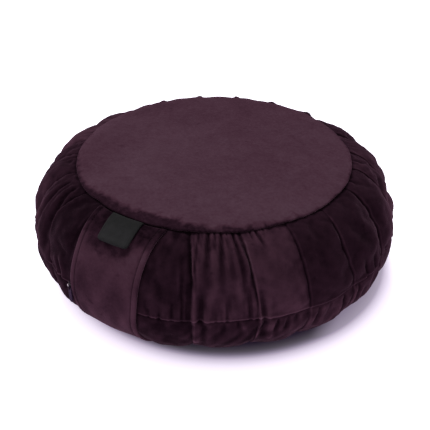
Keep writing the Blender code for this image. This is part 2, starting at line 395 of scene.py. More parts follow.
def smooth(low, high, value):
    share = np.clip((value - low) / (high - low), 0, 1)
    return share * share * (3 - 2 * share)


def within(value, start, full, fade, end):
    # rises from start to full, and falls from fade to end
    return smooth(start, full, value) * (1 - smooth(fade, end, value))


def bell(value, middle, width):
    return np.exp(-(((value - middle) / width) ** 2))


def signed(angle):
    return (angle + 180) % 360 - 180


# The side: a quarter round from the top seam out to the zip, and another back in to the base seam

side = {
    "radius": 210.8 * mm,
    "seamRadius": 157.5 * mm,
    "topSeam": 139.0 * mm,
    "zip": 70.0 * mm,
    "baseSeam": 8.0 * mm,
}


def sidePoint(turn):
    angle = np.radians(np.clip(turn, 0.01, 179.99))
    bulge = side["radius"] - side["seamRadius"]
    rise = np.where(turn < 90, side["topSeam"] - side["zip"], side["zip"] - side["baseSeam"])
    return side["seamRadius"] + bulge * np.sin(angle), side["zip"] + rise * np.cos(angle)


def sideOutward(turn):
    radiusAbove, heightAbove = sidePoint(turn - 1.0)
    radiusBelow, heightBelow = sidePoint(turn + 1.0)
    along = np.hypot(radiusBelow - radiusAbove, heightBelow - heightAbove)
    return (heightAbove - heightBelow) / along, (radiusBelow - radiusAbove) / along


def onSide(bearing, turn, lift):
    radius, height = sidePoint(turn)
    out, up = sideOutward(turn)
    radius, height = radius + out * lift, height + up * lift
    angle = np.radians(bearing)
    return np.stack([radius * np.sin(angle), -radius * np.cos(angle), height + 0 * angle], -1)


# Pleats: where each crease lies, the shape from one to the next, and how the velvet looks there

pleats = {
    "count": 21,
    "firstFold": 26.5,
    "depthAtSeams": 2.2 * mm,
    "depthBetween": 5.2 * mm,
    "depthBelow": 0.55,
    "wander": 1.1,
    "sagAtTop": 0.9 * mm,
    "fallAtBack": 4.6 * mm,
    "knob": 3.3 * mm,
    "slack": 2.6 * mm,
    "uneven": 0.7 * mm,
    "crumpled": 0.22 * mm,
    "pressedIn": 0.9 * mm,  # under the strap
    "slumpTurn": 116,
    "slumpReach": 27,
    "seed": 11,
}
pleatAngle = 360 / pleats["count"]

# bearings where the strap's hold on the side starts, is full, fades and ends
strapHold = {
    "beside": (-21, -15, 15, 21),
    "under": (-12.4, -9.8, 10.4, 12.8),
    "held": (-13.5, -11.5, 13.5, 15.5),
}

# one pleat from its crease, over the folded edge, to the next crease: share across and share
# of the depth
pleatSection = [
    (0.000, 1.00), (0.008, 0.86), (0.016, 0.62), (0.024, 0.42), (0.034, 0.30),
    (0.048, 0.25), (0.070, 0.24), (0.110, 0.21), (0.170, 0.15), (0.260, 0.07),
    (0.380, 0.01), (0.500, 0.00), (0.620, 0.03), (0.750, 0.13), (0.850, 0.27),
    (0.920, 0.44), (0.960, 0.64), (0.985, 0.86), (1.000, 1.00),
]

# how light the pile looks from one fold to the next, on the upper and lower band, and how
# uneven it is
lookParts = ("upper", "lower", "uneven")
pleatLooks = {
    -6: (0.24, 0.30, 0.4),
    -5: (0.18, 0.14, 0.6),
    -4: (0.12, 0.12, 0.6),
    -3: (0.02, 0.10, 0.5),
    -2: (0.30, 0.30, 0.5),
    -1: (0.17, 0.06, 1.0),
    0: (0.345, 0.22, 0.6),
    1: (0.43, 0.29, 0.5),
    2: (0.17, 0.36, 0.15),
    3: (0.17, 0.32, 0.15),
    4: (0.21, 0.32, 0.5),
    5: (0.29, 0.34, 0.5),
    6: (0.40, 0.40, 0.4),
}

# creases that show: how far each leans from its regular place at four turns, in degrees, how
# sharp it is, how strong the painted highlight on its folded edge is, and how far the pleats
# beside it arch, in mm
leanTurns = [0, 50, 88, 130]
creases = {
    -7: ((3.0, 4.0, 3.0, 1.0), 1.0, 1.0, 3.0),
    -6: ((3.0, 6.5, 5.0, 1.0), 1.15, 1.0, 3.8),
    -5: ((-1.0, -2.0, -1.0, 0.0), 0.9, 1.2, 2.6),
    -4: ((-2.0, -4.0, -1.0, 0.0), 0.8, 1.6, 1.8),
    -3: ((-1.9, -3.4, 1.6, 2.0), 0.9, 1.8, 0.6),
    -2: ((0.0, 0.0, 0.0, 0.0), 0.2, 0.0, 0.0),
    -1: ((0.0, 0.0, 0.0, 0.0), 0.2, 0.0, 0.0),
    0: ((-2.1, 0.1, 0.3, 0.5), 0.9, 1.2, 0.0),
    1: ((-1.6, 0.2, 1.3, 0.2), 1.10, 1.5, 0.0),
    2: ((-1.2, -1.2, -0.8, -2.0), 0.40, 1.1, 0.3),
    3: ((-0.9, -2.7, -1.5, -2.6), 0.45, 1.2, 0.6),
    4: ((1.3, -0.5, -2.0, -1.0), 0.7, 1.0, 1.6),
    5: ((1.0, -0.6, 0.0, 0.8), 0.9, 1.0, 2.4),
    6: ((-2.0, -6.0, -6.5, -4.0), 1.0, 1.2, 3.0),
    7: ((-1.0, -5.2, -5.0, -2.0), 1.2, 1.0, 4.2),
}

# how far the creases at the back lean at the top seam, in degrees
backLeans = {8: 1.5, 9: 2.4, 10: 2.9, 11: 3.1, 12: 3.4, 13: 3.3}

# short tucks that run from a seam: bearing, turn at each end, width in degrees, depth in mm,
# and how far the far end drifts, in degrees
tuckParts = ("bearing", "from", "to", "width", "depth", "drift")
shownTucks = [
    # from the top seam, right of the strap
    (27.5, 0, 96, 0.32, 1.5, 0.2), (30.9, 0, 78, 0.75, 3.0, 0.3), (33.0, 0, 26, 0.35, 1.1, 0.3),
    (35.3, 0, 72, 0.65, 2.8, -0.2), (37.2, 0, 24, 0.35, 1.1, 0.2), (39.5, 0, 110, 0.6, 3.2, 3.0),
    (45.6, 0, 18, 0.4, 1.1, 0.6), (47.8, 0, 32, 0.55, 2.1, 2.0), (50.6, 0, 16, 0.4, 1.0, -0.6),
    # up from the zip, right of the strap
    (46.6, 91, 52, 0.8, 2.8, -0.9), (42.8, 91, 46, 0.5, 2.8, -0.6), (29.2, 93, 46, 1.0, 4.0, 0.4),
    (36.4, 91, 62, 0.5, 1.5, 0.5), (33.4, 91, 76, 0.45, 1.0, -0.4), (24.4, 91, 16, 0.4, 1.5, -1.4),
    (21.8, 91, 66, 0.5, 1.5, -0.6), (18.0, 91, 70, 0.6, 1.6, 0.8), (15.2, 91, 78, 0.45, 1.0, -0.5),
    # down from the zip
    (46.8, 92, 138, 1.0, 3.8, -1.0), (30.6, 92, 140, 0.8, 2.6, -1.0),
    (39.6, 92, 112, 0.6, 1.8, 0.8), (35.6, 92, 108, 0.6, 1.2, -0.6),
    (29.8, 92, 116, 0.6, 1.5, -0.6), (50.4, 92, 118, 0.55, 1.9, -1.4),
    (53.4, 92, 112, 0.55, 1.5, -1.2), (56.0, 92, 104, 0.55, 1.2, -0.6),
    (63.6, 92, 124, 0.7, 2.5, -2.0), (67.2, 92, 108, 0.5, 1.1, -1.0),
    (72.8, 92, 128, 0.6, 2.2, -1.6), (79.0, 92, 122, 0.6, 2.0, -1.0),
    # up from the zip, at the far right
    (83.0, 91, 66, 0.6, 1.5, -1.0), (86.4, 91, 70, 0.6, 1.4, 1.0),
    # left of the strap
    (-12.6, 4, 88, 0.6, 1.5, -0.4), (-32.5, 6, 96, 1.0, 2.8, 5.2), (-38.0, 12, 96, 0.9, 2.0, 3.0),
    (-17.0, 91, 58, 0.9, 1.6, -3.0), (-17.5, 91, 70, 0.6, 1.2, -1.0),
]
tucks = [dict(zip(tuckParts, row)) for row in shownTucks]

# how far the zip's seam stands over its mean height, bearing by bearing
zipLine = [
    (-60.0, -1.0 * mm), (-35.0, -0.6 * mm), (-24.6, -1.6 * mm), (-17.0, -2.6 * mm),
    (-12.0, -1.5 * mm), (13.5, -1.5 * mm), (26.7, 0.5 * mm), (46.0, 0.5 * mm),
    (60.0, -2.0 * mm), (74.0, -2.5 * mm), (84.0, 0.0 * mm), (140.0, 0.0 * mm),
    (200.0, 1.5 * mm), (250.0, -1.5 * mm),
]

# how far the filling pushes the lower half out, bearing by bearing
slump = [
    (-90.0, 1.5 * mm), (-40.0, 2.6 * mm), (-24.0, 3.0 * mm), (-13.0, 1.8 * mm),
    (-10.0, 0.2 * mm), (6.0, 0.2 * mm), (11.0, 2.6 * mm), (17.0, 4.2 * mm),
    (28.0, 3.8 * mm), (45.0, 3.2 * mm), (60.0, 3.6 * mm), (85.0, 3.2 * mm),
    (108.0, 2.4 * mm), (130.0, 1.6 * mm), (170.0, 2.0 * mm), (220.0, 1.2 * mm),
]


def tableAt(table, where, period=None):
    return np.interp(where, [row[0] for row in table], [row[1] for row in table], period=period)


def zipTurn(bearing):
    rise = tableAt(zipLine, bearing, 360)
    return 90 - np.degrees(rise / (side["topSeam"] - side["zip"]))


def looksOf(which):
    # one value for each pleat: those the photograph shows, and a seeded choice for the rest
    rng = np.random.default_rng(pleats["seed"] + 2)
    values = rng.choice([0.20, 0.26, 0.42, 0.55], pleats["count"])
    if which == "uneven":
        values = rng.uniform(0.4, 1.0, pleats["count"])
    for number, looks in pleatLooks.items():
        values[number % pleats["count"]] = looks[lookParts.index(which)]
    return values


def addRandomTucks():
    rng = np.random.default_rng(pleats["seed"])
    seams = [
        {"from": 0, "away": 1, "count": 1, "reach": (12, 34)},
        {"from": 91, "away": -1, "count": 3, "reach": (8, 24)},
        {"from": 92, "away": 1, "count": 3, "reach": (10, 30)},
        {"from": 180, "away": -1, "count": 3, "reach": (14, 34)},
    ]
    # these pleats have the tucks above
    shown = [number % pleats["count"] for number in range(-4, 4)]
    for pleat in range(pleats["count"]):
        for seam in seams:
            for tuck in range(seam["count"]):
                row = {
                    "bearing": pleats["firstFold"] + (pleat + rng.uniform(0.14, 0.92)) * pleatAngle,
                    "from": seam["from"],
                    "to": seam["from"] + seam["away"] * rng.uniform(*seam["reach"]),
                    "width": rng.uniform(0.4, 0.9),
                    "depth": rng.uniform(0.4, 1.4),
                    "drift": rng.uniform(-1.2, 1.2),
                }
                if pleat not in shown or seam["from"] == 180:
                    tucks.append(row)


def tuckDepth(bearing, turn):
    total = np.zeros(turn.shape)
    for tuck in tucks:
        share = (turn - tuck["from"]) / (tuck["to"] - tuck["from"])
        off = signed(bearing - tuck["bearing"] - tuck["drift"] * share)
        near = (share > -0.08) & (share < 1) & (np.abs(off) < 8)
        fade = within(share, -0.06, 0.08, 0.3, 1.0)
        width = tuck["width"] * (0.85 + 0.8 * np.clip(share, 0, 1))
        ridges = bell(np.abs(off), 1.8 * width, width)
        dip = bell(off, 0, width) - 0.5 * ridges
        total += np.where(near, tuck["depth"] * mm * fade * dip, 0)
    return total


def seamPull(turn, place, width, depth):
    return depth * np.exp(-np.abs((turn - place) / width) ** 1.5)


def zipDip(turn):
    # the upper band's edge stands proud over the zip, and the lower band comes out under it
    dip = 0.5 * mm * smooth(89.2, 90.0, turn) + 0.6 * mm * bell(turn, 90.7, 0.8)
    dip = dip * (1 - smooth(92, 98, turn))
    return dip - 0.6 * mm * bell(turn, 88.0, 1.4) + seamPull(turn, 90, 4.0, 0.8 * mm)


def creaseValues():
    # lean at each of the four turns, sharpness, arch and shine, one row for each crease
    rng = np.random.default_rng(pleats["seed"] + 1)
    leans = rng.uniform(-1, 1, (pleats["count"], len(leanTurns))) * pleats["wander"]
    for number, lean in backLeans.items():
        leans[number, 0] = lean
    sharp = rng.uniform(0.7, 1.05, pleats["count"])
    arch = rng.uniform(2.2, 3.4, pleats["count"]) * mm
    shine = np.ones(pleats["count"])
    for number, (lean, keen, light, rise) in creases.items():
        row = number % pleats["count"]
        leans[row], sharp[row], shine[row], arch[row] = lean, keen, light, rise * mm
    return leans, sharp, arch, shine


def leanAt(leans, turn):
    # a smooth curve through the four turns of one row for each point
    knots = np.array(leanTurns, float)
    slopes = np.gradient(leans, knots, axis=-1)
    place = np.clip(np.searchsorted(knots, turn) - 1, 0, len(knots) - 2)
    step = knots[place + 1] - knots[place]
    share = np.clip((turn - knots[place]) / step, 0, 1)
    pick = lambda table, shift: np.take_along_axis(table, (place + shift)[..., None], -1)[..., 0]
    before, after = (1 + 2 * share) * (1 - share) ** 2, share**2 * (3 - 2 * share)
    total = before * pick(leans, 0) + after * pick(leans, 1)
    bend = share * (1 - share) ** 2 * pick(slopes, 0) - share**2 * (1 - share) * pick(slopes, 1)
    return total + bend * step


def sideSheet(share, pleat, turn):
    # the pleated side: share across a pleat, the pleat's number and the turn down the side
    leans, sharp, arch = creaseValues()[:3]
    here, after = pleat % pleats["count"], (pleat + 1) % pleats["count"]
    nearSeams = 1 - np.abs(np.sin(np.radians(2 * turn)))
    deep = pleats["depthBetween"] + (pleats["depthAtSeams"] - pleats["depthBetween"]) * nearSeams
    across = smooth(0.3, 0.7, share)
    deep = deep * (sharp[here] * (1 - across) + sharp[after] * across)
    deep = deep * (1 - (1 - pleats["depthBelow"]) * smooth(94, 120, turn))
    lean = leanAt(leans[here], turn) * (1 - share) + leanAt(leans[after], turn) * share
    bearing = pleats["firstFold"] + pleatAngle * (pleat + share) + lean
    warped = turn + (zipTurn(bearing) - 90) * np.sin(np.radians(turn)) ** 2
    inward = deep * tableAt(pleatSection, share)
    arched = (arch[here] * (1 - across) + arch[after] * across) * ((2 * share - 1) ** 2 - 0.4)
    inward = inward + arched * within(turn, 8, 45, 120, 165)
    inward = inward + tuckDepth(bearing, turn)
    sag = np.sin(np.pi * share) ** 1.5 * within(turn, 0, 12, 24, 60)
    inward = inward + pleats["sagAtTop"] * sag
    behind = within(bearing % 360, 138, 170, 238, 262)
    inward = inward + pleats["fallAtBack"] * behind * within(turn, 5, 24, 48, 84)
    knob = bell(share, 0.13, 0.14) * bell(turn, 9, 6.5)
    inward = inward - pleats["knob"] * behind * knob
    besideStrap = within(signed(bearing), *strapHold["beside"])
    underStrap = within(signed(bearing), *strapHold["under"])
    # what the filling takes up
    slack = np.sqrt(np.abs(np.sin(np.radians(2 * turn)))) * (1 - besideStrap)
    inward = inward + pleats["slack"] * slack
    slumped = bell(turn, pleats["slumpTurn"], pleats["slumpReach"])
    inward = inward - tableAt(slump, bearing, 360) * slumped
    uneven = pleats["uneven"] * ripples(bearing, turn, 3, 24, 5, 22) * np.sin(np.radians(turn))
    uneven = uneven + pleats["crumpled"] * ripples(bearing, turn, 4, 40, 30, 90, 0.5)
    inward = inward + uneven * (1 - 0.6 * underStrap)
    inward = inward + zipDip(turn)
    inward = inward + seamPull(turn, 0, 2.0, 0.9 * mm) + seamPull(turn, 180, 4.0, 2.5 * mm)
    inward = inward + underStrap * pleats["pressedIn"]
    return bearing, warped, inward


def hollows(bearing, inward, reaches):
    # how far each point lies below its neighbours on either side: hollows above zero, ridges below
    total = np.zeros(inward.shape)
    for row in range(inward.shape[0]):
        for reach, weight in reaches:
            left = np.interp(bearing[row] - reach, bearing[row], inward[row], period=360)
            right = np.interp(bearing[row] + reach, bearing[row], inward[row], period=360)
            total[row] += weight * (inward[row] - (left + right) / 2)
    return total


def sideColumns():
    bends = [row[0] for row in pleatSection if row[0] < 1]
    fill = np.linspace(0.12, 0.90, 20)
    shares = np.array(sorted(set(bends) | set(fill.round(3).tolist())))
    pleat = np.repeat(np.arange(pleats["count"]), len(shares))
    return np.tile(shares, pleats["count"]), pleat


def sideRows():
    bands = [(1.0, 10, 1.0), (10, 84, 2.0), (84, 96, 0.5), (96, 171, 2.1), (171, 179.5, 1.2)]
    return np.concatenate([np.arange(*band) for band in bands])


# how much each of these adds to the side's tone, or takes from it: some are the pile's own tone,
# others painted shade and painted highlights, as marked where they are used
sideTones = {
    "blotches": 0.06,
    "fineBlotches": 0.05,
    "hollows": -0.066,
    "foldedEdge": 0.13,
    "besideCrease": -0.06,
    "streaks": 0.12,
    "nearBase": -0.10,
    "zipEdge": 0.17,
    "underZip": -0.05,
    "leftOverZip": 0.11,
    "leftZipEdge": 0.26,
    "leftRim": 0.16,
    "rightRim": 0.26,
    "atTopSeam": -0.10,
}


def sideLayers(share, pleat, turn, bearing, inward):
    count, tones = pleats["count"], sideTones
    around, upper = signed(bearing), turn < 90
    nap = np.where(turn < 90.3, looksOf("upper")[pleat % count], looksOf("lower")[pleat % count])
    uneven = looksOf("uneven")[pleat % count]
    nap = nap + tones["blotches"] * uneven * ripples(bearing, turn, 8, 18, 8, 44, 0.5)
    nap = nap + tones["fineBlotches"] * uneven * ripples(bearing, turn, 9, 30, 50, 150, 0.12)
    # painted shade in hollows and creases, and painted highlight on ridges
    relief = hollows(bearing, inward, [(0.4, 0.9), (0.9, 0.8), (2.0, 0.4)])
    nap = nap + tones["hollows"] * np.clip(relief / mm, -1.8, 4.0)
    # painted highlight along each folded edge
    edge = bell(share, 0.042, 0.014) * smooth(4, 20, turn)
    nap = nap + tones["foldedEdge"] * creaseValues()[-1][pleat % count] * edge
    # painted shade just before each crease
    nap = nap + tones["besideCrease"] * bell(share, 0.975, 0.022)
    streaks = ripples(bearing + 0.22 * (turn - 92), turn, 14, 26, 24, 110, 0.10)
    nap = nap + (tones["streaks"] * np.clip(streaks, -1.2, 1.6) - 0.05) * smooth(92, 97, turn)
    # darker towards the base seam
    nap = nap + tones["nearBase"] * smooth(108, 132, turn)
    # painted highlight on the upper band's edge over the zip, and painted shade under it
    nap = nap + tones["zipEdge"] * bell(turn, 89.0, 0.7) + tones["underZip"] * bell(turn, 91.6, 1.2)
    # on the left: lighter above the zip, and a stronger painted highlight on the zip's edge
    left = tones["leftOverZip"] * smooth(66, 84, turn) * upper
    left = left + tones["leftZipEdge"] * bell(turn, 89.0, 0.8)
    nap = nap + within(around, -70, -40, -13, -10) * left
    # painted sheen highlights on a band left of the strap and a band on the right, where the side
    # turns away
    nap = nap + tones["leftRim"] * within(around, -56, -50, -38, -33) * smooth(30, 50, turn) * upper
    nap = nap + tones["rightRim"] * within(around, 97, 104, 116, 124) * smooth(44, 60, turn) * upper
    # painted shade at the top seam
    nap = nap + tones["atTopSeam"] * (1 - smooth(1.0, 4.0, turn))
    # the crush layer also rises towards the top seam, so the side is darker and flecked there
    crush = 0.04 + 0.10 * uneven + 0.22 * bell(turn, 0, 9.0)
    return np.clip(nap, 0, 1), np.clip(crush, 0, 1)


# The filling pushes the pleats out: a coarse copy is blown up as cloth that is held at its
# seams and creases

filling = {
    "cloth": {
        "quality": 5,
        "mass": 0.25,
        "tension_stiffness": 12.0,
        "compression_stiffness": 12.0,
        "shear_stiffness": 6.0,
        "bending_stiffness": 1.2,
        "use_pressure": True,
        "uniform_pressure_force": 4.0,
        "shrink_min": -0.045,  # spare cloth
        "vertex_group_mass": "held",
    },
    "frames": 20,
    "cap": 5.0 * mm,
    "inset": 3.4 * mm,  # how far its two ends lie inside the panels
}


def blowUp(points, hold, material):
    piece = ringMesh("filling", points, material)
    held = piece.vertex_groups.new(name="held")
    weights = hold.reshape(-1)
    for index in np.nonzero(weights > 0.01)[0]:
        held.add([int(index)], float(weights[index]), "REPLACE")
    held.add([len(weights), len(weights) + 1], 1.0, "REPLACE")
    modifier = piece.modifiers.new("cloth", "CLOTH")
    for setting, value in filling["cloth"].items():
        setattr(modifier.settings, setting, value)
    modifier.settings.effector_weights.gravity = 0
    modifier.collision_settings.use_collision = False
    for number in range(1, filling["frames"] + 1):
        bpy.context.scene.frame_set(number)
    graph = bpy.context.evaluated_depsgraph_get()
    done = bpy.data.meshes.new_from_object(piece.evaluated_get(graph))
    moved = np.zeros(len(done.vertices) * 3)
    done.vertices.foreach_get("co", moved)
    bpy.data.objects.remove(piece)
    bpy.data.meshes.remove(done)
    bpy.context.scene.frame_set(1)
    shift = moved.reshape(-1, 3)[: len(weights)].reshape(points.shape) - points
    size = np.maximum(np.linalg.norm(shift, axis=-1, keepdims=True), 1e-9)
    return shift * np.minimum(1, filling["cap"] / size)


def soften(field):
    for axis in (0, 1):
        ahead, behind = np.roll(field, 1, axis), np.roll(field, -1, axis)
        if axis == 0:
            ahead[0], behind[-1] = field[0], field[-1]
        field = field * 0.5 + (ahead + behind) * 0.25
    return field


def fillOut(share, pleat, turn, material):
    # how far the filling moves each point of the fine side
    count = pleats["count"]
    coarse = np.concatenate([[0.0, 0.024, 0.048], np.linspace(0.10, 0.95, 15)])
    coarseShare = np.tile(coarse, count)
    coarsePleat = np.repeat(np.arange(count), len(coarse))
    coarseTurn = np.concatenate([np.linspace(1, 88, 30), [90], np.linspace(92, 179, 27)])
    shares, turns = np.meshgrid(coarseShare, coarseTurn)
    bearing, warped, inward = sideSheet(shares, np.broadcast_to(coarsePleat, shares.shape), turns)
    seams = np.maximum(1 - smooth(2, 8, turns), smooth(172, 178, turns))
    seams = np.maximum(seams, np.abs(turns - 90) < 3)
    underStrap = within(signed(bearing), *strapHold["held"])
    hold = np.maximum(np.maximum(seams, underStrap), 0.9 * (shares < 0.01))
    shift = soften(blowUp(onSide(bearing, warped, -inward), hold, material))
    place, finePlace = coarsePleat + coarseShare, pleat[0] + share[0]
    total = np.zeros(share.shape + (3,))
    for axis in range(3):
        rows = [np.interp(finePlace, place, row, period=count) for row in shift[..., axis]]
        columns = [np.interp(turn[:, 0], coarseTurn, column) for column in np.array(rows).T]
        total[..., axis] = np.array(columns).T
    return total


def endRing(ring, part, face, lift):
    # the filling's two ends are rings that the panels hide
    height = face(part * side["seamRadius"]) + lift
    return np.column_stack([ring[:, :2] * part, np.full(len(ring), height)])


def makePleatedCushion(material):
    share, pleat = sideColumns()
    shareGrid, turnGrid = np.meshgrid(share, sideRows())
    pleatGrid = np.broadcast_to(pleat, shareGrid.shape)
    bearing, warped, inward = sideSheet(shareGrid, pleatGrid, turnGrid)
    points = onSide(bearing, warped, -inward)
    shift = fillOut(shareGrid, pleatGrid, turnGrid, material)
    out = onSide(bearing, warped, 1.0 - inward) - points
    inward = inward - (shift * out).sum(-1)
    points = points + shift
    print("filling blown up")
    nap, crush = sideLayers(shareGrid, pleatGrid, turnGrid, bearing, inward)
    crown = [endRing(points[0], part, topFace, -filling["inset"]) for part in (0.3, 0.7, 0.96)]
    sole = [endRing(points[-1], part, baseFace, filling["inset"]) for part in (0.96, 0.7, 0.3)]
    rings = np.concatenate([crown, points, sole])
    grow = lambda layer: np.pad(layer, ((3, 3), (0, 0)), "edge")
    return ringMesh("pleatedCushion", rings, material, {"nap": grow(nap), "crush": grow(crush)})


# Round panels

panel = {
    "columns": 252,
    "rimHeight": 142.0 * mm,
    "crown": 4.5 * mm,
    "raisedTo": 213.0,
    "raised": 1.6 * mm,
    "rimRoll": 14.0 * mm,
    "rimDrop": 1.6 * mm,
    "baseFlat": 128.0 * mm,
    "baseRise": 5.0 * mm,
    "thickness": 2.0 * mm,
    "dents": 0.8 * mm,
    "nap": 0.69,
    "blotches": 0.03,
    "atSeam": -0.06,
    # painted light: the bearing that the panel lightens towards, and by how much
    "lighterTowards": 20.0,
    "paintedLightGradient": 0.07,
    "rubbed": 1.20,
    "rubbedReach": (-9 * mm, 12 * mm),
}

# how wide the rubbed rim of the top panel is, bearing by bearing
rimWear = [
    (-70.0, -3.0 * mm), (-46.0, -1.0 * mm), (-30.0, 3.0 * mm), (-14.0, 10.0 * mm),
    (5.0, 12.0 * mm), (15.0, 10.0 * mm), (24.0, 7.5 * mm), (33.0, 5.0 * mm),
    (46.0, 3.5 * mm), (62.0, 0.5 * mm), (85.0, -2.0 * mm), (250.0, -4.0 * mm),
]


def topFace(radius):
    share = radius / side["seamRadius"]
    roll = np.maximum(0, radius - side["seamRadius"] + panel["rimRoll"]) / panel["rimRoll"]
    return panel["rimHeight"] + panel["crown"] * (1 - share**3) - panel["rimDrop"] * roll**2


def baseFace(radius):
    share = np.maximum(0, radius - panel["baseFlat"]) / (side["seamRadius"] - panel["baseFlat"])
    return panel["baseRise"] * share**2


def panelGrid(*spans):
    # bearings and shares of the radius, over spans of (from, to, count)
    bearing = np.arange(panel["columns"]) * 360 / panel["columns"]
    return np.meshgrid(bearing, np.concatenate([np.linspace(*span) for span in spans]))


def panelPoint(bearing, radius):
    return radius * np.sin(np.radians(bearing)), -radius * np.cos(np.radians(bearing))


def makeTopPanel(material):
    bearing, share = panelGrid((0.02, 0.84, 26), (0.855, 0.996, 18))
    radius = share * side["seamRadius"]
    rim = smooth(0.86, 1.0, share)
    radius = radius * (1 + 0.003 * rim * ripples(bearing, 0 * bearing, 21, 12, 6, 24))
    height = topFace(radius)
    height = height + 0.30 * mm * rim * ripples(bearing, share * 40, 22, 24, 12, 44)
    x, y = panelPoint(bearing, radius)
    height = height + panel["dents"] * dents(x, y, 31) * (1 - 0.6 * rim)
    farSide = share * np.cos(np.radians(bearing - panel["raisedTo"]))
    height = height + panel["raised"] * smooth(0.2, 1.0, farSide)
    upper = np.stack([x, y, height], -1)
    edge = upper[-1] * np.array([1.003, 1.003, 1.0]) - np.array([0, 0, 0.9 * mm])
    lower = upper[::-3] - np.array([0, 0, panel["thickness"]])
    rings = np.concatenate([upper, edge[None], lower])
    inside = (1 - share) * side["seamRadius"] - tableAt(rimWear, bearing, 360)
    crush = 0.02 + panel["rubbed"] * (1 - smooth(*panel["rubbedReach"], inside))
    # painted light: the panel is a little lighter towards one side
    heading = math.radians(panel["lighterTowards"])
    towardsLight = (x * math.sin(heading) - y * math.cos(heading)) / side["seamRadius"]
    nap = panel["nap"] + panel["blotches"] * dents(x, y, 33) + panel["paintedLightGradient"] * towardsLight
    # painted shade at the seam round the rim
    nap = nap + panel["atSeam"] * smooth(0.985, 1.0, share)
    grow = lambda field: np.concatenate([field, field[-1:], field[::-3]])
    return ringMesh("topPanel", rings, material, {"nap": grow(nap), "crush": grow(crush)})


def dents(x, y, seed, waves=14, shortest=0.05, longest=0.20):
    # shallow waves in all directions, their lengths in metres
    rng = np.random.default_rng(seed)
    total = np.zeros(x.shape)
    for step in range(waves):
        heading, length = rng.uniform(0, math.tau), rng.uniform(shortest, longest)
        along = x * math.cos(heading) + y * math.sin(heading)
        total += np.cos(along * math.tau / length + rng.uniform(0, math.tau))
    return total / math.sqrt(waves)


def makeBasePanel(material):
    bearing, share = panelGrid((0.996, 0.80, 14), (0.78, 0.03, 16))
    radius = share * side["seamRadius"]
    gathers = 1 + ripples(bearing, share * 40, 41, 20, 20, 60)
    height = baseFace(radius) + 0.25 * mm * smooth(0.86, 1.0, share) * gathers
    x, y = panelPoint(bearing, radius)
    lower = np.stack([x, y, np.maximum(height, 0)], -1)
    upper = lower[::-2] + np.array([0, 0, panel["thickness"]])
    rings = np.concatenate([upper, lower])
    grow = lambda field: np.concatenate([field[::-2], field])
    nap = 0.5 + 0.1 * dents(x, y, 43)
    return ringMesh("basePanel", rings, material, {"nap": grow(nap), "crush": grow(0.2 + 0 * nap)})


# Carry strap, label and their stitches

strap = {
    "width": 83.0 * mm,
    "middle": 3.5 * mm,
    "thickness": 2.8 * mm,
    "clearance": 0.5 * mm,
    "flattening": 0.15,
    "hem": 5.8 * mm,
    "narrowing": 4.2 * mm,
    "start": -1.0,
    "end": 181.0,
    "foldsUnder": (-7.79, 9.36),
    "nap": 0.56,
    "stitches": {"Pitch": 3.4 * mm, "Length": 2.6 * mm, "Width": 0.45 * mm, "Height": 0.40 * mm},
}


def onStrap(across, turn, lift):
    radius, height = sidePoint(turn)
    out, up = sideOutward(np.clip(turn, 1, 179))
    tuck = smooth(-1.0, 5.0, turn) * smooth(-1.0, 5.0, 180 - turn)
    lift = strap["clearance"] + lift - 5.0 * mm * (1 - tuck)
    radius, height = radius + out * lift, height + up * lift
    curve = 1 - strap["flattening"] * np.sin(np.radians(turn))
    fall = (radius - np.sqrt(radius**2 - across**2)) * curve
    return np.stack([across + 0 * turn, fall - radius, height + 0 * across], -1)


def narrowed(across, turn):
    # the right edge draws in towards the foot
    drawnIn = strap["narrowing"] * smooth(76, 128, turn)
    return across - drawnIn * (across / strap["width"] + 0.5) ** 2


def fromEdge(across):
    return strap["width"] / 2 - np.abs(across - strap["middle"])


def strapFace(across, turn):
    # lift of the outer face: raised hems, a valley under each row of stitches, and the folds
    # that it lies over
    hem, inEdge = strap["hem"], fromEdge(across)
    lift = strap["thickness"] - 0.35 * mm
    lift = lift + 0.45 * mm * (1 - smooth(hem - 1.5 * mm, hem + 1.0 * mm, inEdge))
    lift = lift - 0.65 * mm * bell(inEdge, hem, 0.9 * mm)
    lift = lift - 0.9 * mm * (1 - smooth(0, 2.2 * mm, inEdge)) ** 2
    bearing = np.degrees(across / side["radius"])
    for fold in strap["foldsUnder"]:
        lift = lift + 0.35 * mm * bell(bearing, fold, 1.6) * np.sin(np.radians(turn))
    return lift


def strapSway(across, turn):
    edge = (1 - fromEdge(across) / (strap["width"] / 2)) ** 3
    sway = 0.45 * mm * ripples(np.degrees(across / side["radius"]) * 1.5, turn, 51, 20, 3, 14, 0.7)
    curl = 0.7 * mm + 0.6 * mm * ripples(np.sign(across) * 40, turn, 52, 8, 3, 9)
    return sway + edge * curl * np.sin(np.radians(turn))


# how much each of these adds to the strap's tone, or takes from it: blotches are the pile's own
# tone, the others painted shade, painted highlights and darker and lighter bands, as marked
# where they are used
strapTones = {
    "blotches": 0.07,
    "hem": 0.04,
    "rightHem": 0.04,
    "rightHemTop": -0.10,
    "edge": -0.10,
    "stitchRow": -0.16,
    "top": -0.16,
    "middle": -0.17,
    "foot": 0.13,
}


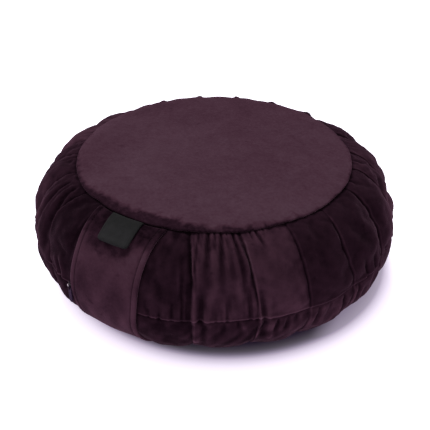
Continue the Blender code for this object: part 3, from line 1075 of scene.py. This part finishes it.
def makeStrap(material):
    half, dense = strap["width"] / 2, 10 * mm
    steps = [np.linspace(-half, dense - half, 17)[:-1], np.linspace(dense - half, half - dense, 34)]
    steps.append(np.linspace(half - dense, half, 17)[1:])
    outer = np.concatenate(steps)
    inner = outer[::-2] * 0.992
    columns = np.concatenate([outer, inner]) + strap["middle"]
    across, turn = np.meshgrid(columns, np.linspace(strap["start"], strap["end"], 120))
    lift = strapFace(across, turn)
    lift[:, len(outer) :] = 0.0
    rings = onStrap(narrowed(across, turn), turn, lift + strapSway(across, turn))
    inEdge, under, tones = fromEdge(across), smooth(8, 40, turn), strapTones
    blotches = ripples(np.degrees(across / side["radius"]) * 3, turn, 55, 14, 3, 22, 0.5)
    nap = strap["nap"] + tones["blotches"] * blotches
    # painted highlight along the raised hems, stronger on the right
    hem = 1 - smooth(strap["hem"] - 1 * mm, strap["hem"] + 0.6 * mm, inEdge)
    hemTone = tones["hem"] + tones["rightHem"] * smooth(-10 * mm, 30 * mm, across)
    nap = nap + hemTone * hem * under
    # painted shade on the right hem near the top, under the panel's rim
    nap = nap + tones["rightHemTop"] * hem * (1 - under) * smooth(0, 30 * mm, across)
    # painted shade along the edges, where they roll under
    nap = nap + tones["edge"] * (1 - smooth(0, 2.0 * mm, inEdge))
    # painted shade in the valley under each row of stitches
    nap = nap + tones["stitchRow"] * bell(inEdge, strap["hem"], 0.8 * mm)
    # painted shade at the top, under the panel's rim, and darker from the middle down
    nap = nap + tones["top"] * (1 - smooth(10, 44, turn)) + tones["middle"] * smooth(52, 88, turn)
    # lighter at the foot
    nap = nap + tones["foot"] * smooth(112, 150, turn)
    # the pile is rubbed round the label
    wornTo = 35 + 13 * smooth(-34 * mm, -14 * mm, across) - 12 * smooth(22 * mm, 32 * mm, across)
    crush = 0.08 + 0.80 * (1 - smooth(-14, 10, turn - wornTo))
    layers = {"nap": np.clip(nap, 0, 1), "crush": np.clip(crush, 0, 1)}
    return ringMesh("carryStrap", rings, material, layers)


label = {
    "width": 38.0 * mm,
    "middle": 3.5 * mm,
    "thickness": 0.9 * mm,
    "start": 0.5,
    "end": 36.0,
    "foldRise": 1.9 * mm,
    "tilt": 3.0 * mm,
    "hem": 2.0 * mm,
    "tones": {"sewnIn": 0.30, "free": 0.5, "fold": -0.45, "hem": -0.18},
}


def labelDown(turn):
    return (turn - label["start"]) / (label["end"] - label["start"])


def labelLift(across, turn, outside):
    # a folded patch: free at its lower end, where the fold is round and stands off the strap
    share, beside = labelDown(turn), across / (label["width"] / 2)
    stand = strap["thickness"] + 0.3 * mm + label["foldRise"] * share**3 * (1 + 0.25 * beside)
    stand = stand + 0.35 * mm * np.sin(beside * 2.2 + 0.6) * share
    bulk = label["thickness"] + 0.9 * mm * smooth(0.80, 0.93, share)
    bulk = bulk * np.sqrt(np.clip(1 - smooth(0.94, 1.0, share) ** 2, 0.01, 1))
    bulk = bulk * (1 - 0.5 * np.abs(beside) ** 14)
    return stand + bulk * outside


def makeLabel(material):
    half = label["width"] / 2
    outer = np.linspace(-half, half, 33)
    late = label["end"] - 2.2  # the fold needs finer rows
    rows = [np.linspace(label["start"], late, 28), np.linspace(late + 0.3, label["end"], 8)]
    across, turn = np.meshgrid(np.concatenate([outer, outer[::-2]]), np.concatenate(rows))
    down = labelDown(turn)
    outside = np.zeros(across.shape)
    outside[:, : len(outer)] = 1
    # the lower corners are a little rounded
    corner = smooth(0.90, 1.0, down) * smooth(0.80, 1.0, np.abs(across) / half)
    shift = label["middle"] + label["tilt"] * (down - 0.62)
    lift = labelLift(across, turn, outside)
    rings = onStrap(across * (1 - 0.03 * corner) + shift, turn - 0.9 * corner, lift)
    tones = label["tones"]
    # painted shade: darker near the top, where it is sewn in under the panel's rim, and at its
    # fold, with darker lines along its hems
    shade = tones["sewnIn"] + tones["free"] * smooth(0.02, 0.75, down)
    shade = shade + tones["fold"] * smooth(0.955, 1.0, down)
    shade = shade + tones["hem"] * bell(half - np.abs(across), label["hem"], 0.5 * mm)
    piece = ringMesh("wovenLabel", rings, material, {"nap": shade})
    flat = np.stack([across, turn * mm], -1).reshape(-1, 2)
    flat = np.concatenate([flat, [[0, 0], [0, label["end"] * mm]]])
    layer = piece.data.uv_layers.new(name="weave")
    corners = np.zeros(len(piece.data.loops), np.int32)
    piece.data.loops.foreach_get("vertex_index", corners)
    layer.data.foreach_set("uv", flat[corners].reshape(-1).astype(np.float32))
    return piece


# Geometry Nodes: small pieces set along a path


def beadTree(name, material):
    # an ellipsoid at each step of a path, its length along the path
    tree = bpy.data.node_groups.new(name, "GeometryNodeTree")
    tree.interface.new_socket("Path", in_out="INPUT", socket_type="NodeSocketGeometry")
    for size, value in strap["stitches"].items():
        socket = tree.interface.new_socket(size, in_out="INPUT", socket_type="NodeSocketFloat")
        socket.default_value = value
    tree.interface.new_socket("Geometry", in_out="OUTPUT", socket_type="NodeSocketGeometry")
    add = lambda kind: tree.nodes.new(kind)
    entry, leave = add("NodeGroupInput"), add("NodeGroupOutput")
    curve, points = add("GeometryNodeMeshToCurve"), add("GeometryNodeCurveToPoints")
    points.mode = "LENGTH"
    ball, size = add("GeometryNodeMeshUVSphere"), add("ShaderNodeCombineXYZ")
    for setting, value in (("Segments", 8), ("Rings", 5), ("Radius", 0.5)):
        ball.inputs[setting].default_value = value
    place, real = add("GeometryNodeInstanceOnPoints"), add("GeometryNodeRealizeInstances")
    paint = add("GeometryNodeSetMaterial")
    paint.inputs["Material"].default_value = material
    for source, output, target, entrance in (
        (entry, "Path", curve, "Mesh"),
        (curve, "Curve", points, "Curve"),
        (entry, "Pitch", points, "Length"),
        (entry, "Width", size, "X"),
        (entry, "Height", size, "Y"),
        (entry, "Length", size, "Z"),
        (points, "Points", place, "Points"),
        (points, "Rotation", place, "Rotation"),
        (ball, "Mesh", place, "Instance"),
        (size, "Vector", place, "Scale"),
        (place, "Instances", real, "Geometry"),
        (real, "Geometry", paint, "Geometry"),
        (paint, "Geometry", leave, "Geometry"),
    ):
        tree.links.new(source.outputs[output], target.inputs[entrance])
    return tree


def beadsAlong(name, paths, tree, sizes):
    mesh = bpy.data.meshes.new(name)
    points, edges = [], []
    for path in paths:
        edges += [(len(points) + i, len(points) + i + 1) for i in range(len(path) - 1)]
        points += [tuple(p) for p in path]
    mesh.from_pydata(points, edges, [])
    guide = newObject(name, mesh)
    modifier = guide.modifiers.new("beads", "NODES")
    modifier.node_group = tree
    entries = [item for item in tree.interface.items_tree if item.in_out == "INPUT"]
    sockets = {item.name: item.identifier for item in entries}
    for size, value in sizes.items():
        modifier[sockets[size]] = value
    graph = bpy.context.evaluated_depsgraph_get()
    done = bpy.data.meshes.new_from_object(guide.evaluated_get(graph))
    bpy.data.objects.remove(guide)
    done.name = name
    done.shade_smooth()
    return newObject(name, done)


def makeStrapStitches(thread):
    turns = np.linspace(4, 176, 160)
    paths = []
    for edge in (-1, 1):
        across = np.full(turns.shape, strap["middle"] + edge * (strap["width"] / 2 - strap["hem"]))
        lift = strapFace(across, turns) + strapSway(across, turns) + 0.12 * mm
        paths.append(onStrap(narrowed(across, turns), turns, lift))
    return beadsAlong("strapStitches", paths, beadTree("stitches", thread), strap["stitches"])


# The floor glows, as a light table would, and has a painted shadow where the cushion stands: its
# glow fades and its colour darkens near the cushion. The stops are metres from the shadow's middle,
# and for the painted penumbra metres from a place on the left.

floorGlow = {
    "middle": viewFront * -10 * mm + viewRight * 14 * mm,
    "stops": [
        (0.1870, 0.0),
        (0.1915, (0.065, 0.050, 0.085, 1)),
        (0.1944, (0.170, 0.140, 0.205, 1)),
        (0.1985, (0.400, 0.345, 0.450, 1)),
        (0.2090, (0.700, 0.635, 0.750, 1)),
        (0.2220, (0.860, 0.810, 0.880, 1)),
    ],
    "leftOut": viewRight * -250 * mm,
    "penumbra": [
        (0.385, 0.0),
        (0.408, (0.190, 0.160, 0.220, 1)),
        (0.450, (0.230, 0.195, 0.260, 1)),
    ],
    "under": (0.16, 0.10, 0.21, 1),
    "clear": (0.92, 0.86, 0.98, 1),
    "edge": [(0.176, 0.0), (0.205, 1.0)],
}


def makeFloor():
    mesh = bpy.data.meshes.new("floor")
    work = bmesh.new()
    bmesh.ops.create_grid(work, x_segments=1, y_segments=1, size=3.0)
    work.to_mesh(mesh)
    work.free()
    finish = Finish("glowingFloorPaintedShadow")
    where = finish.place()
    distance = finish.vector("DISTANCE", {0: where, 1: floorGlow["middle"]}, 1)
    along = finish.vector("DISTANCE", {0: where, 1: floorGlow["leftOut"]}, 1)
    # the floor's glow fades into a painted shadow round the cushion, lightened on the right by a
    # painted penumbra
    glow = finish.ramp(distance, floorGlow["stops"])
    penumbra = finish.ramp(along, floorGlow["penumbra"])
    finish.setInput("Emission Color", finish.blend(1.0, glow, penumbra, "LIGHTEN"))
    finish.setInput("Emission Strength", 1.0)
    # painted shadow: the floor's colour darkens towards the cushion
    edge = finish.ramp(distance, floorGlow["edge"])
    finish.setInput("Base Color", finish.blend(edge, floorGlow["under"], floorGlow["clear"]))
    finish.setInput("Roughness", 0.9)
    finish.setInput("Specular IOR Level", 0.1)
    mesh.materials.append(finish.material)
    newObject("floor", mesh)


def dress(node, material):
    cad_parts[node].data.materials.clear()
    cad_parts[node].data.materials.append(material)


makeCamera()
makeLights()
makeFloor()
print("stage ready")

addRandomTucks()
velvetSide = makeVelvet("sideVelvet")
velvetPanel = makeVelvet("panelVelvet")
cushion = makePleatedCushion(velvetSide)
top = makeTopPanel(velvetPanel)
base = makeBasePanel(velvetPanel)
print("cushion and panels made")

strapPiece = makeStrap(makeVelvet("strapVelvet"))
labelPiece = makeLabel(makeLabelCloth())
stitches = makeStrapStitches(makeThread())
dress("zip_slider", makeSliderMetal())
dress("zip_pull", makePaintedMetal())
print("strap, label and zip made")

for piece in (cushion, top, base, strapPiece, labelPiece, stitches):
    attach(piece, "root")
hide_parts("filled_cushion")
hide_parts("top_panel")
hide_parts("base_panel")
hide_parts("carry_strap")
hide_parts("label")
